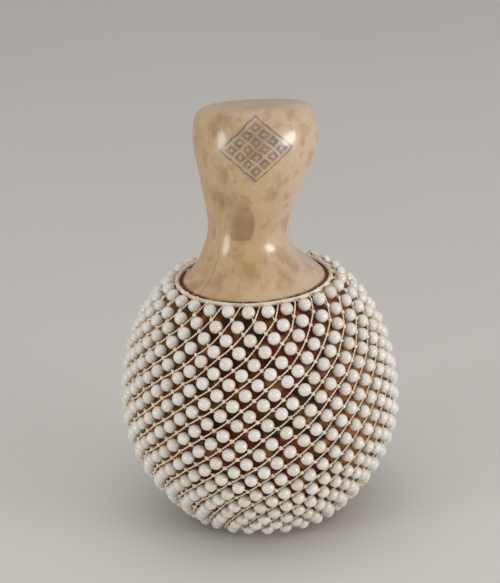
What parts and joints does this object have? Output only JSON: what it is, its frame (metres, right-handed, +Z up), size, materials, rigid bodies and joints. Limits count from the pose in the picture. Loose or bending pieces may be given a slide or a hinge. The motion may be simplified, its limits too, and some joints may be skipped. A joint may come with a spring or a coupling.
{
  "type": "beaded gourd rattle",
  "caption": "Hollow bottle gourd with a domed, closed neck as its handle, inside a loose knotted net of round beads that turns on the body and strikes it to sound.",
  "frame": {"origin": "centre of the bounding box at the bottom, on the gourd's flat base rim and on the axis of the body", "axes": "+Z up along the gourd from base to crown, +X to the right and -Y to the front as the picture shows it"},
  "size_m": [0.1734, 0.1734, 0.2688],
  "materials": {
    "gourd": "varnished dried gourd",
    "beads": "pearly off-white round beads",
    "net_cord": "twisted tan cord",
    "collar": "cream twisted cord"
  },
  "bodies": {
    "gourd": {"gourd_shell": "gourd"},
    "net": {"collar_cord": "collar", "base_ring_cord": "net_cord", "gather_cords": "net_cord", "bead_band_01": "beads", "bead_band_02": "beads", "bead_band_03": "beads", "bead_band_04": "beads", "bead_band_05": "beads", "bead_band_06": "beads", "bead_band_07": "beads", "bead_band_08": "beads", "bead_band_09": "beads", "bead_band_10": "beads", "bead_band_11": "beads", "bead_band_12": "beads", "cord_band_01": "net_cord", "cord_band_02": "net_cord", "cord_band_03": "net_cord", "cord_band_04": "net_cord", "cord_band_05": "net_cord", "cord_band_06": "net_cord", "cord_band_07": "net_cord", "cord_band_08": "net_cord", "cord_band_09": "net_cord", "cord_band_10": "net_cord", "cord_band_11": "net_cord", "cord_band_12": "net_cord"}
  },
  "joints": [
    {"name": "net_turn", "type": "hinge", "parent": "gourd", "child": "net", "pos_m": [0, 0, 0.08], "axis": [0, 0, 1], "continuous": true}
  ]
}
